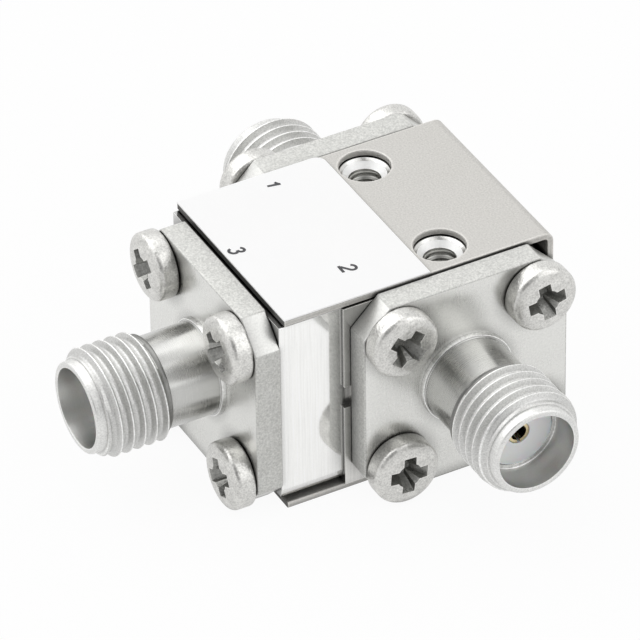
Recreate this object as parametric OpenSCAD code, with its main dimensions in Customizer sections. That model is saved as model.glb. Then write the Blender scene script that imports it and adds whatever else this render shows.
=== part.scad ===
// Three-port coaxial circulator: a ferrite junction in a small metal housing, clasped by a folded
// steel yoke, with three flanged threaded jacks in a T. Millimetres, +Z up.
// Origin: on the base, under the point where the three port axes cross.
// Port 1 faces -X, port 2 faces +X, port 3 faces -Y.

/* [Body] */
// Distance between the seats of ports 1 and 2
body_length = 12.7; // [12.2:0.1:15]
// How far the seam of the side block lies outside the flange edge
seam_margin = 0.4; // [0.2:0.05:1.5]
// How far the rear of the housing stands back from the flange edge
rear_inset = 0.3; // [0.1:0.05:0.5]
// Slanted relief along both rear edges of the housing
rear_relief = 1.25; // [0.8:0.05:1.8]
// Thickness of the side block that carries port 3
block_t = 3.85; // [3:0.05:5]
// How far the ends of the side block stand back from the flange edge
block_inset = 0.2; // [0.1:0.05:0.5]
// Height of the slant along the bottom edges of the side block
block_slant = 0.55; // [0.1:0.05:0.8]
// How far that slant runs in
block_draw = 0.15; // [0.05:0.05:0.4]
// Metal of the side block under its lower screw holes
block_floor = 0.25; // [0.05:0.05:0.4]
// Height of the slot at each end of the seam
seam_slot_h = 1.4; // [0.8:0.1:2]
// Depth of the seam slot across the seam
seam_slot_w = 0.45; // [0.2:0.05:0.6]
// How far the seam slot runs in from the side
seam_slot_run = 0.4; // [0.2:0.1:1.2]

/* [Yoke] */
// How far the upper flange edges lie below the top of the sheet
flange_inset = 0.08; // [0.02:0.01:0.5]
// How far the lower flange edges stay above the base
flange_lift = 0.02; // [0.01:0.01:0.3]
// Thickness of the folded sheet
sheet_t = 0.38; // [0.3:0.02:0.6]
// Inside radius of each fold
fold_inside = 0.22; // [0.1:0.02:0.8]
// How far the sheet stands back from the seats of ports 1 and 2
yoke_inset = 0.12; // [0.06:0.02:0.5]
// How far the open edges stand back from the seat of port 3
leg_setback = 0.3; // [0.1:0.05:1]
// Gap between the housing and the upper sheet
top_gap = 0.05; // [0.02:0.01:0.4]

/* [Mounting holes] */
// Seat of each side port to its mounting hole
mount_edge = 2.1; // [2:0.05:2.4]
// Line of the mounting holes, behind the junction axis
mount_offset = 0.4; // [-0.5:0.1:0.8]
// Clearance hole through the upper sheet
mount_clear_d = 2.95; // [2.6:0.05:3.2]
// Tapped hole in the housing
mount_tap_d = 1.9; // [1.6:0.05:2.2]
// Depth of the tapped hole
mount_tap_depth = 3; // [2:0.1:3.5]
// Width of the slanted mouth around the tapped hole
mount_mouth = 0.45; // [0.1:0.05:0.6]

/* [Port jacks] */
// Side of the square flange
flange_size = 12.7; // [12.2:0.1:13]
// Thickness of the flange
flange_t = 1.55; // [1.2:0.05:2]
// Slanted cut at each flange corner
flange_corner = 1.7; // [1:0.1:2.2]
// Step of the raised ring where the barrel leaves the flange
collar_step = 0.15; // [0.05:0.025:0.4]
// Height of the raised ring
collar_h = 0.25; // [0.1:0.05:0.5]
// Plain barrel behind the thread
barrel_d = 5.35; // [5.1:0.05:5.5]
// Length of the plain barrel, from the flange
barrel_len = 3.75; // [3:0.05:5]
// Outside diameter of the thread
thread_d = 6.35; // [6.1:0.05:6.6]
// Length of the threaded part
thread_len = 3.3; // [2.5:0.1:5]
// Depth of the slant at both ends of the thread
thread_slant = 0.4; // [0.1:0.05:0.5]
// Wall of the plain ring at the mouth
nose_wall = 0.35; // [0.25:0.05:0.4]
// Length of the plain ring
nose_len = 0.7; // [0.4:0.05:1]
// Broken edge at the mouth
nose_edge = 0.12; // [0.05:0.01:0.2]
// Bore at the mouth
mouth_d = 4.6; // [4.4:0.05:4.7]
// Depth of the mouth bore
mouth_depth = 1.95; // [1.5:0.05:2.5]
// Insulator behind the mouth
insulator_d = 4.1; // [3.6:0.05:4.2]
// Insulator stem that runs into the housing
stem_d = 2; // [1.6:0.1:2.4]
// Centre contact
contact_d = 1.27; // [1.1:0.01:1.5]
// Socket in the centre contact
socket_d = 0.94; // [0.8:0.01:1]
// Depth of the socket
socket_depth = 2.6; // [2:0.1:3.5]
// Saw cut across the socket
socket_cut = 0.18; // [0.1:0.01:0.3]
// Pin behind the centre contact
pin_d = 0.6; // [0.4:0.05:0.8]

/* [Flange screws] */
// Flange edge to the axis of each screw
screw_edge = 2.03; // [1.8:0.01:2.2]
// Screw thread diameter
screw_d = 2; // [1.8:0.05:2.3]
// Screw head diameter
head_d = 4; // [3.8:0.05:4.3]
// Screw head height at its middle
head_h = 1.4; // [1.2:0.05:1.7]
// Straight side of the screw head
head_side = 0.85; // [0.5:0.05:0.9]
// Reach of the cross recess
recess_span = 2.3; // [1.6:0.1:2.7]
// Width of each arm of the cross recess
recess_w = 0.65; // [0.3:0.05:0.7]
// Depth of the cross recess
recess_depth = 0.8; // [0.5:0.05:1]
// How deep the screws of ports 1 and 2 reach into the housing
screw_bite = 2.45; // [1.5:0.05:3]
// Metal left between crossing screw holes
screw_wall = 0.35; // [0.2:0.05:0.5]

/* [Junction] */
// Metal between the cavity and the slanted mouths of the mounting holes
cavity_wall = 0.2; // [0.1:0.05:0.6]
// Ferrite discs
ferrite_d = 2.4; // [2:0.1:3]
// Thickness of ferrites and spacer rings
ferrite_t = 0.6; // [0.5:0.05:0.9]
// Thickness of the centre conductor
conductor_t = 0.15; // [0.1:0.01:0.3]
// Round middle of the centre conductor
conductor_d = 2.2; // [1.8:0.1:2.8]
// Width of the conductor's arms
arm_w = 0.7; // [0.4:0.05:1]
// Thickness of the ground plates
ground_t = 0.5; // [0.3:0.05:0.8]
// Thickness of the magnets
magnet_t = 3.2; // [2.5:0.1:3.6]

/* [Label] */
// Thickness of the adhesive label
label_t = 0.08; // [0.04:0.01:0.2]
// Bare sheet between the label and the mounting holes
label_gap = 0.225; // [0.1:0.025:2]
// Round at the label's rear corner
label_round = 0.6; // [0.2:0.1:1.5]

/* [Clearances] */
// Gap round the junction discs
stack_gap = 0.1; // [0.05:0.01:0.2]
// Gap round insulators and contacts
fit_gap = 0.03; // [0.02:0.01:0.05]
// Gap round screw threads
thread_gap = 0.03; // [0.02:0.01:0.06]
// Gap round the screws in the flange holes
flange_hole_gap = 0.225; // [0.05:0.025:0.3]
// Space beyond each screw tip
tip_room = 0.2; // [0.1:0.05:0.3]
// How far the contact lies behind the insulator's face
contact_sink = 0.05; // [0.02:0.01:0.2]

/* [Hidden] */
$fn = 64;
// Cutting tools reach this far past a face
over = 1;

// Levels
yoke_height = flange_size + flange_inset + flange_lift;
axis_z = flange_size / 2 + flange_lift;
floor_z = sheet_t;
roof_z = yoke_height - sheet_t;
housing_top = roof_z - top_gap;
fold_radius = fold_inside + sheet_t;

// Plan
housing_front = flange_size / 2 + seam_margin;
housing_rear = flange_size / 2 - rear_inset;
side_seat = body_length / 2;
front_seat = housing_front + block_t;
block_half = flange_size / 2 - block_inset;
yoke_half = side_seat - yoke_inset;
leg_end = front_seat - leg_setback;
port_turn = [180, 0, -90];
port_seat = [side_seat, side_seat, front_seat];
mount_spacing = body_length - 2 * mount_edge;
mount_mouth_d = mount_tap_d + 2 * mount_mouth;
label_edge = mount_clear_d / 2 + label_gap - mount_offset;

// Jack
collar_d = barrel_d + 2 * collar_step;
nose_d = mouth_d + 2 * nose_wall;
nose_z = flange_t + barrel_len + thread_len + nose_len;
insulator_face = nose_z - mouth_depth;
contact_face = insulator_face - contact_sink;
contact_root = contact_face - socket_depth - contact_d;
flange_diamond = sqrt(2) * (flange_size - flange_corner);
stem_bore_d = stem_d + 2 * fit_gap;

// Junction
cavity_d = mount_spacing - mount_mouth_d - 2 * cavity_wall;
stack_d = cavity_d - 2 * stack_gap;
ring_bore_d = ferrite_d + 2 * fit_gap;
arm_end = stack_d / 2 + fit_gap;
stem_end = cavity_d / 2 + fit_gap;
ferrite_z = conductor_t / 2;
ground_z = ferrite_z + ferrite_t;
magnet_z = ground_z + ground_t;
pole_z = magnet_z + magnet_t;
pole_base = axis_z - floor_z - pole_z;
pole_roof = roof_z - axis_z - pole_z;
elbow_r = conductor_d / 2 + arm_w / 4;

// Flange screws
screw_spacing = flange_size - 2 * screw_edge;
flange_hole_d = screw_d + 2 * flange_hole_gap;
screw_hole_d = screw_d + 2 * thread_gap;
block_base = axis_z - screw_spacing / 2 - screw_hole_d / 2 - block_floor;
block_bite = housing_front - screw_spacing / 2 - screw_d / 2 - screw_wall;
port_bite = [screw_bite, screw_bite, block_t + block_bite];
head_ball_r = (pow(head_d / 2, 2) + pow(head_h - head_side, 2)) / (2 * (head_h - head_side));

// Stands children on the seat of one port, with their +Z pointing out of it
module at_port(number) {
  translate([0, 0, axis_z])
    rotate([0, 0, port_turn[number - 1]])
      translate([port_seat[number - 1], 0, 0])
        rotate([0, 90, 0])
          children();
}

// Repeats children at the four screws of a flange
module at_screws() {
  for (x = [-1, 1], y = [-1, 1])
    translate([x, y] * screw_spacing / 2)
      children();
}

// Repeats children at the two mounting holes
module at_mounts() {
  for (side = [-1, 1])
    translate([side * mount_spacing / 2, mount_offset, 0])
      children();
}

// Extrudes a section drawn in Y and Z along X, centred
module along_x(length) {
  rotate([90, 0, 90])
    linear_extrude(length, center = true)
      children();
}

// Tool that drills one flange's screw holes and stem hole into what lies behind it
module port_drill(number) {
  bite = port_bite[number - 1] + tip_room;
  at_port(number) {
    at_screws()
      translate([0, 0, -bite])
        cylinder(h = bite + over, d = screw_hole_d);
    translate([0, 0, -port_seat[number - 1]])
      cylinder(h = port_seat[number - 1] + over, d = stem_bore_d);
  }
}

// Section of the housing with its two slanted rear edges
module housing_section() {
  polygon([
    [-housing_front, floor_z],
    [housing_rear - rear_relief, floor_z],
    [housing_rear, floor_z + rear_relief],
    [housing_rear, housing_top - rear_relief],
    [housing_rear - rear_relief, housing_top],
    [-housing_front, housing_top]
  ]);
}

module housing() {
  color("gainsboro")
    difference() {
      along_x(body_length)
        housing_section();
      cylinder(h = yoke_height, d = cavity_d);
      for (number = [1, 2, 3])
        port_drill(number);
      at_mounts()
        translate([0, 0, housing_top - mount_tap_depth])
          cylinder(h = mount_tap_depth + over, d = mount_tap_d);
      at_mounts()
        translate([0, 0, housing_top - mount_mouth])
          cylinder(h = 2 * mount_mouth, d1 = mount_tap_d, d2 = 2 * mount_mouth_d - mount_tap_d);
      for (side = [-1, 1])
        translate([side * side_seat, -housing_front, axis_z])
          cube([2 * seam_slot_run, 2 * seam_slot_w, seam_slot_h], center = true);
    }
}

// Section of the side block with its two slanted bottom edges, drawn in X and Z
module block_section() {
  polygon([
    [-block_half + block_draw, block_base],
    [block_half - block_draw, block_base],
    [block_half, block_base + block_slant],
    [block_half, housing_top],
    [-block_half, housing_top],
    [-block_half, block_base + block_slant]
  ]);
}

module port_3_block() {
  color("whitesmoke")
    difference() {
      translate([0, -housing_front, 0])
        rotate([90, 0, 0])
          linear_extrude(block_t)
            block_section();
      port_drill(3);
    }
}

// Outline that is square at the open edge and round at the two folds, grown or shrunk by inset
module fold_outline(inset) {
  radius = fold_radius - inset;
  rear = housing_rear + sheet_t - inset;
  translate([-leg_end, inset])
    square([leg_end + rear - radius, yoke_height - 2 * inset]);
  translate([-leg_end, fold_radius])
    square([leg_end + rear, yoke_height - 2 * fold_radius]);
  for (z = [fold_radius, yoke_height - fold_radius])
    translate([rear - radius, z])
      circle(radius);
}

// Folded sheet: upper leg, closed rear wall and lower leg in one piece
module yoke() {
  color("lightgray")
    difference() {
      along_x(2 * yoke_half)
        difference() {
          fold_outline(0);
          fold_outline(sheet_t);
          translate([-leg_end - over, sheet_t])
            square([2 * over, roof_z - floor_z]);
        }
      at_mounts()
        translate([0, 0, roof_z - over / 2])
          cylinder(h = sheet_t + over, d = mount_clear_d);
    }
}

// Adhesive label, square but for its rounded rear corner
module label() {
  color("white")
    translate([0, 0, yoke_height])
      linear_extrude(label_t)
        union() {
          translate([-yoke_half + label_round, -leg_end])
            square([2 * yoke_half - label_round, leg_end - label_edge]);
          translate([-yoke_half, -leg_end])
            square([2 * yoke_half, leg_end - label_edge - label_round]);
          translate([-yoke_half + label_round, -label_edge - label_round])
            circle(label_round);
        }
}

// Square flange with slanted corners and four screw holes
module flange() {
  linear_extrude(flange_t)
    difference() {
      intersection() {
        square(flange_size, center = true);
        rotate(45)
          square(flange_diamond, center = true);
      }
      at_screws()
        circle(d = flange_hole_d);
    }
}

// Turned outline of the jack ahead of the flange: ring, barrel, thread blank and plain nose
module jack_profile() {
  thread_from = flange_t + barrel_len;
  thread_to = thread_from + thread_len;
  polygon([
    [0, 0],
    [collar_d / 2, 0],
    [collar_d / 2, flange_t + collar_h],
    [barrel_d / 2, flange_t + collar_h],
    [barrel_d / 2, thread_from],
    [thread_d / 2 - thread_slant, thread_from],
    [thread_d / 2, thread_from + thread_slant],
    [thread_d / 2, thread_to - thread_slant],
    [thread_d / 2 - thread_slant, thread_to],
    [nose_d / 2, thread_to],
    [nose_d / 2, nose_z - nose_edge],
    [nose_d / 2 - nose_edge, nose_z],
    [0, nose_z]
  ]);
}

// Flange, barrel and threaded nose, turned and milled from one piece
module jack_shell(number) {
  color("silver")
    at_port(number)
      difference() {
        union() {
          flange();
          rotate_extrude()
            jack_profile();
        }
        translate([0, 0, -over])
          cylinder(h = nose_z + over, d = insulator_d);
        translate([0, 0, insulator_face])
          cylinder(h = mouth_depth + over, d = mouth_d);
      }
}

// White insulator: a plug in the shell and a stem that runs in to the cavity
module jack_insulator(number) {
  stem_len = port_seat[number - 1] - stem_end;
  color("ghostwhite")
    at_port(number)
      difference() {
        union() {
          cylinder(h = insulator_face, d = insulator_d - 2 * fit_gap);
          translate([0, 0, -stem_len])
            cylinder(h = stem_len + flange_t, d = stem_d);
        }
        translate([0, 0, contact_root - fit_gap])
          cylinder(h = nose_z, d = contact_d + 2 * fit_gap);
        translate([0, 0, -stem_len - over])
          cylinder(h = stem_len + nose_z, d = pin_d + 2 * fit_gap);
      }
}

// Slotted socket in front, thin pin behind that meets the conductor's arm
module jack_contact(number) {
  pin_len = port_seat[number - 1] - arm_end;
  color("gold")
    at_port(number)
      difference() {
        union() {
          translate([0, 0, contact_root])
            cylinder(h = contact_face - contact_root, d = contact_d);
          translate([0, 0, -pin_len])
            cylinder(h = pin_len + contact_root + contact_d / 2, d = pin_d);
        }
        translate([0, 0, contact_face - socket_depth])
          cylinder(h = socket_depth + over, d = socket_d);
        translate([-contact_d, -socket_cut / 2, contact_face - socket_depth])
          cube([2 * contact_d, socket_cut, socket_depth + over]);
      }
}

// Pan head with a cross recess and a plain shank, seated on z = 0
module pan_screw(length) {
  difference() {
    union() {
      intersection() {
        cylinder(h = head_h, d = head_d);
        translate([0, 0, head_h - head_ball_r])
          sphere(head_ball_r);
      }
      translate([0, 0, -length])
        cylinder(h = length + head_side / 2, d = screw_d);
    }
    for (turn = [0, 90])
      rotate(turn)
        translate([0, 0, head_h])
          cube([recess_span, recess_w, 2 * recess_depth], center = true);
  }
}

// The four screws of one flange
module flange_screws(number) {
  color("darkgray")
    at_port(number)
      at_screws()
        translate([0, 0, flange_t])
          pan_screw(flange_t + port_bite[number - 1]);
}

// Flat strip that follows a list of points, with round elbows
module strip(points) {
  for (i = [1:len(points) - 1]) {
    step = points[i] - points[i - 1];
    translate(points[i - 1])
      rotate(atan2(step.y, step.x))
        translate([0, -arm_w / 2])
          square([norm(step), arm_w]);
  }
  for (i = [1:len(points) - 2])
    translate(points[i])
      circle(d = arm_w);
}

// Three arms leave the disc a third of a turn apart, and the side arms bend to their ports
module centre_conductor() {
  elbow = elbow_r * [cos(30), sin(30)];
  color("goldenrod")
    translate([0, 0, axis_z - conductor_t / 2])
      linear_extrude(conductor_t)
        union() {
          circle(d = conductor_d);
          strip([[0, 0], [0, -arm_end]]);
          for (side = [-1, 1])
            strip([
              [0, 0],
              [side * elbow.x, elbow.y],
              [side * (elbow.x + elbow.y), 0],
              [side * arm_end, 0]
            ]);
        }
}

// Puts a junction disc above (side = 1) or below (side = -1) the conductor, its near face at level
module in_stack(side, level, thickness) {
  translate([0, 0, axis_z + side * (level + thickness / 2)])
    linear_extrude(thickness, center = true)
      children();
}

module ferrite(side) {
  color("dimgray")
    in_stack(side, ferrite_z, ferrite_t)
      circle(d = ferrite_d);
}

module spacer_ring(side) {
  color("ivory")
    in_stack(side, ferrite_z, ferrite_t)
      difference() {
        circle(d = stack_d);
        circle(d = ring_bore_d);
      }
}

module ground_plate(side) {
  color("khaki")
    in_stack(side, ground_z, ground_t)
      circle(d = stack_d);
}

module magnet(side) {
  color("slategray")
    in_stack(side, magnet_z, magnet_t)
      circle(d = stack_d);
}

// Fills the stack up to the sheet, so the upper one may differ from the lower one
module pole_piece(side) {
  color("lightsteelblue")
    in_stack(side, pole_z, side > 0 ? pole_roof : pole_base)
      circle(d = stack_d);
}

housing();
port_3_block();
yoke();
label();
jack_shell(1);  // port_1_shell
jack_shell(2);  // port_2_shell
jack_shell(3);  // port_3_shell
jack_insulator(1);  // port_1_insulator
jack_insulator(2);  // port_2_insulator
jack_insulator(3);  // port_3_insulator
jack_contact(1);  // port_1_contact
jack_contact(2);  // port_2_contact
jack_contact(3);  // port_3_contact
flange_screws(1);  // port_1_screws
flange_screws(2);  // port_2_screws
flange_screws(3);  // port_3_screws
centre_conductor();
ferrite(1);  // upper_ferrite
ferrite(-1);  // lower_ferrite
spacer_ring(1);  // upper_spacer_ring
spacer_ring(-1);  // lower_spacer_ring
ground_plate(1);  // upper_ground_plate
ground_plate(-1);  // lower_ground_plate
magnet(1);  // upper_magnet
magnet(-1);  // lower_magnet
pole_piece(1);  // upper_pole_piece
pole_piece(-1);  // lower_pole_piece
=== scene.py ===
"""Looks of a three-port coaxial circulator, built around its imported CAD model.

Lengths are millimetres in the frame of the part: +X out of port 2, -X out of port 1, -Y out of
port 3, +Z up from the base. They turn into metres only where a mesh, lamp or camera is made.
"""
import logging
import math
from collections.abc import Iterable, Sequence
from dataclasses import dataclass, field
from enum import Enum
from functools import cached_property
from typing import Any

import bmesh
import bpy
import numpy as np
from mathutils import Matrix, Vector
from mathutils.geometry import delaunay_2d_cdt


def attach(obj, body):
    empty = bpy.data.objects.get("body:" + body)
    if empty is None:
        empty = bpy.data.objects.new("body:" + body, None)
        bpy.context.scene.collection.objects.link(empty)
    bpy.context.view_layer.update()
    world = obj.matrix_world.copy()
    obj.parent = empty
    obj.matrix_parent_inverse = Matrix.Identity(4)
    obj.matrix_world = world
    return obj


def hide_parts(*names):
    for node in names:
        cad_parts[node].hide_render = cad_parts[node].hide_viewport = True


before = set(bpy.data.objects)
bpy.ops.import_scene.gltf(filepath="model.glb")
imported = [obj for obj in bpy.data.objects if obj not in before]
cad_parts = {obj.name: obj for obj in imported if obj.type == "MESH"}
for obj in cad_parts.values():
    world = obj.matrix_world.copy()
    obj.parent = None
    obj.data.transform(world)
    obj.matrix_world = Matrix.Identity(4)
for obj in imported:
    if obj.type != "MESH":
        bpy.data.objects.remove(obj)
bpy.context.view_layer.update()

MM = 0.001
WELD = 1e-4
FLAT_WELD = 1e-6
CREASE = math.radians(40.0)
EDGE_MIDDLE = 0.3
NOISE_ROUGHNESS = 0.55
NOOK_SAMPLES = 8
QUARTER_TURN = 0.25
INSIDE_WITH_HOLES = 2
LOG = logging.getLogger("circulator")

Point = tuple[float, float, float]
Colour = tuple[float, float, float]


# Shader writing


class Value:
    """A number that varies over a surface: a socket whose arithmetic adds Math nodes."""

    def __init__(self, tree: bpy.types.NodeTree, socket: bpy.types.NodeSocket) -> None:
        """Keep the socket and the tree that holds it."""
        self.tree = tree
        self.socket = socket

    def _math(self, operation: str, first: Any, second: Any = None) -> "Value":
        """Add one Math node.

        Args:
            operation: Blender's name of the operation.
            first: value or number on the first socket.
            second: value or number on the second socket, if it has one.

        Returns:
            The node's result.
        """
        node = self.tree.nodes.new("ShaderNodeMath")
        node.operation = operation
        for socket, operand in zip(node.inputs, (first, second)):
            if isinstance(operand, Value):
                self.tree.links.new(operand.socket, socket)
            elif operand is not None:
                socket.default_value = operand
        return Value(self.tree, node.outputs[0])

    def __add__(self, other: Any) -> "Value":
        """Sum of two values."""
        return self._math("ADD", self, other)

    __radd__ = __add__

    def __sub__(self, other: Any) -> "Value":
        """Difference of two values."""
        return self._math("SUBTRACT", self, other)

    def __rsub__(self, other: Any) -> "Value":
        """Difference from a number on the left."""
        return self._math("SUBTRACT", other, self)

    def __mul__(self, other: Any) -> "Value":
        """Product of two values."""
        return self._math("MULTIPLY", self, other)

    __rmul__ = __mul__

    def __pow__(self, other: Any) -> "Value":
        """Power of a value."""
        return self._math("POWER", self, other)

    def at_least(self, other: Any) -> "Value":
        """Larger of two values."""
        return self._math("MAXIMUM", self, other)

    def beyond(self, other: Any) -> "Value":
        """1 where this value is the larger one, else 0."""
        return self._math("GREATER_THAN", self, other)


class Shader:
    """One procedural material, or the surroundings, written node by node."""

    def __init__(self, owner: bpy.types.Material | bpy.types.World) -> None:
        """Start with nothing but the output node.

        Args:
            owner: what the nodes are written for.
        """
        self.owner = owner
        owner.use_nodes = True
        self.tree = owner.node_tree
        self.tree.nodes.clear()
        kind = "World" if isinstance(owner, bpy.types.World) else "Material"
        self.output = self.tree.nodes.new(f"ShaderNodeOutput{kind}")

    def node(
        self,
        kind: str,
        settings: dict[str, Any] | None = None,
        sockets: dict[str | int, Any] | None = None,
        output: str | int = 0,
    ) -> Value:
        """Add a node of any kind.

        Args:
            kind: Blender's type name of the node.
            settings: properties that are set first.
            sockets: numbers, colours or links for its inputs, by name or index.
            output: which output is handed back.

        Returns:
            The chosen output.
        """
        node = self.tree.nodes.new(kind)
        for key, setting in (settings or {}).items():
            setattr(node, key, setting)
        for key, given in (sockets or {}).items():
            if isinstance(given, Value):
                self.tree.links.new(given.socket, node.inputs[key])
            else:
                node.inputs[key].default_value = given
        return Value(self.tree, node.outputs[output])

    def place(self, stretch: Point = (1.0, 1.0, 1.0)) -> Value:
        """Position on the piece in millimetres, with each direction stretched."""
        sockets = {0: self.node("ShaderNodeTexCoord", output="Object"), 1: Vector(stretch) / MM}
        return self.node("ShaderNodeVectorMath", {"operation": "MULTIPLY"}, sockets)

    def along(self, place: Value, way: Point) -> Value:
        """How far a position lies along a direction."""
        return self.node("ShaderNodeVectorMath", {"operation": "DOT_PRODUCT"}, {0: place, 1: way}, "Value")

    def noise(self, place: Value, size: float, detail: float = 3.0) -> Value:
        """Soft noise from 0 to 1 whose patches are about this many millimetres across."""
        return self.node(
            "ShaderNodeTexNoise",
            {"noise_dimensions": "3D"},
            {"Vector": place, "Scale": 1.0 / size, "Detail": detail, "Roughness": NOISE_ROUGHNESS},
            "Fac",
        )

    def openness(self, reach: float, inside: bool = False) -> Value:
        """How free a spot is: 1 in the open, less where other surfaces lie within reach.

        Args:
            reach: how far it looks, in millimetres.
            inside: look into the metal instead, so that sharp edges count as closed in.

        Returns:
            A share from 0 to 1.
        """
        settings = {"samples": NOOK_SAMPLES, "inside": inside}
        return self.node("ShaderNodeAmbientOcclusion", settings, {"Distance": reach * MM}, "AO")

    def mix(self, factor: Any, low: Any, high: Any) -> Value:
        """Blend two colours."""
        sockets = {0: factor, 6: self._rgba(low), 7: self._rgba(high)}
        return self.node("ShaderNodeMix", {"data_type": "RGBA"}, sockets, 2)

    @staticmethod
    def _rgba(colour: Any) -> Any:
        """A plain colour with its alpha, or a link as it is."""
        return colour if isinstance(colour, Value) else (*colour, 1.0)

    def bump(self, height: Value, depth: float) -> Value:
        """Normal of a surface that rises by this many millimetres where height is 1."""
        return self.node(
            "ShaderNodeBump", None, {"Strength": 1.0, "Distance": depth * MM, "Height": height}, "Normal"
        )

    def close(self, surface: Value) -> None:
        """Hand a surface to the output."""
        self.tree.links.new(surface.socket, self.output.inputs["Surface"])

    def finish(self, sockets: dict[str | int, Any]) -> bpy.types.Material:
        """Close the material with one Principled shader.

        Args:
            sockets: what goes on the shader's sockets.

        Returns:
            The finished material.
        """
        self.close(self.node("ShaderNodeBsdfPrincipled", None, sockets))
        return self.owner


# Finishes


class Grain(Enum):
    """Which way the tool marks of a metal surface run."""

    NONE = (1.0, 1.0, 1.0)
    UPRIGHT = (1.0, 1.0, 0.03)
    LENGTHWISE = (0.04, 1.0, 1.0)
    CROSSWISE = (1.0, 0.04, 1.0)
    TURNED = (0.05, 0.05, 1.0)


@dataclass(frozen=True)
class Marks:
    """Tool marks: which way they run, their size, tint and depth, and how much they dull."""

    grain: Grain = Grain.NONE
    size: float = 0.06
    tone: float = 0.04
    depth: float = 0.001
    dulling: float = 0.35


@dataclass(frozen=True)
class Patches:
    """Soft patches: their size, how much they tint and how much they dull."""

    size: float = 2.0
    tone: float = 0.06
    dulling: float = 0.5


@dataclass(frozen=True)
class Pits:
    """Fine pits: their size, how much they tint and how deep they are."""

    size: float = 0.1
    tone: float = 0.03
    depth: float = 0.0


@dataclass(frozen=True)
class NookShade:
    """Painted shade in nooks: how near another surface counts, and how strongly the colour darkens there.
    """

    reach: float = 1.0
    power: float = 1.0


@dataclass(frozen=True)
class Edges:
    """Bright edges, partly edge wear and partly painted highlight: how wide they are and how much
    brighter.
    """

    reach: float = 0.06
    tone: float = 0.0


@dataclass(frozen=True)
class Metal:
    """A metal finish.

    stretch draws reflections out along lathe marks, roll_off tips the surface about X, and the sheet's
    cut end beyond a given distance towards -Y is painted darker: painted shade where it faces port 3's
    flange.
    """

    name: str
    colour: Colour
    roughness: float
    marks: Marks = Marks()
    patches: Patches = Patches()
    pits: Pits = Pits()
    nook_shade: NookShade = NookShade()
    edges: Edges = Edges()
    stretch: float = 0.0
    roll_off: float = 0.0
    end_shade_from: float = 0.0
    end_shade_strength: float = 0.75
    headroom: float = 1.4

    def material(self) -> bpy.types.Material:
        """Write the finish as a material.

        Returns:
            The new material.
        """
        shader = Shader(bpy.data.materials.new(self.name))
        place = shader.place()
        patches = shader.noise(place, self.patches.size) - 0.5
        marks = shader.noise(shader.place(self.marks.grain.value), self.marks.size, detail=2.0) - 0.5
        pits = shader.noise(place, self.pits.size, detail=4.0) - 0.5
        tints = patches * self.patches.tone + marks * self.marks.tone + pits * self.pits.tone
        # painted shade: the colour darkens where other surfaces lie near, in crevices, recesses and gaps
        tone = (1.0 + 2.0 * tints) * shader.openness(self.nook_shade.reach) ** self.nook_shade.power
        # edge wear and painted highlight: sharp edges, where the metal is thin, are brightened
        if self.edges.tone:
            tone = tone + self.edges.tone * (1.0 - shader.openness(self.edges.reach, inside=True))
        # painted shade: the end beyond this distance towards -Y is darkened where it faces port 3's flange
        if self.end_shade_from:
            end_shade_mask = shader.along(place, (0.0, -1.0, 0.0)).beyond(self.end_shade_from)
            tone = tone * (1.0 - self.end_shade_strength * end_shade_mask)
        height = marks * self.marks.depth + pits * self.pits.depth
        if self.roll_off:
            height = height - shader.along(place, (0.0, self.roll_off, 0.0))
        dulling = patches * self.patches.dulling + marks * self.marks.dulling
        brightest = tuple(self.headroom * c for c in self.colour)
        return shader.finish(
            {
                "Base Color": shader.mix(tone * (1.0 / self.headroom), (0.0, 0.0, 0.0), brightest),
                "Metallic": 1.0,
                "Roughness": self.roughness * (1.0 + dulling),
                "Normal": shader.bump(height, 1.0),
                "Anisotropic": self.stretch,
                "Anisotropic Rotation": QUARTER_TURN,
            }
        )


@dataclass(frozen=True)
class Solid:
    """A finish that is no metal: plastic, film, ink or ceramic."""

    name: str
    colour: Colour
    roughness: float
    patch_size: float = 1.5
    patch_tone: float = 0.03
    texture_size: float = 0.15
    texture_depth: float = 0.004
    texture_dulling: float = 0.4
    sheen_through: float = 0.0
    sheen_depth: float = 0.3

    def material(self) -> bpy.types.Material:
        """Write the finish as a material.

        Returns:
            The new material.
        """
        shader = Shader(bpy.data.materials.new(self.name))
        place = shader.place()
        patches = shader.noise(place, self.patch_size)
        texture = shader.noise(place, self.texture_size, detail=4.0)
        dark = tuple(c * (1.0 - self.patch_tone) for c in self.colour)
        light = tuple(min(1.0, c * (1.0 + self.patch_tone)) for c in self.colour)
        return shader.finish(
            {
                "Base Color": shader.mix(patches, dark, light),
                "Roughness": self.roughness * (1.0 + (texture - 0.5) * self.texture_dulling),
                "Normal": shader.bump(texture, self.texture_depth),
                "Subsurface Weight": self.sheen_through,
                "Subsurface Scale": self.sheen_depth * MM,
            }
        )


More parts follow.
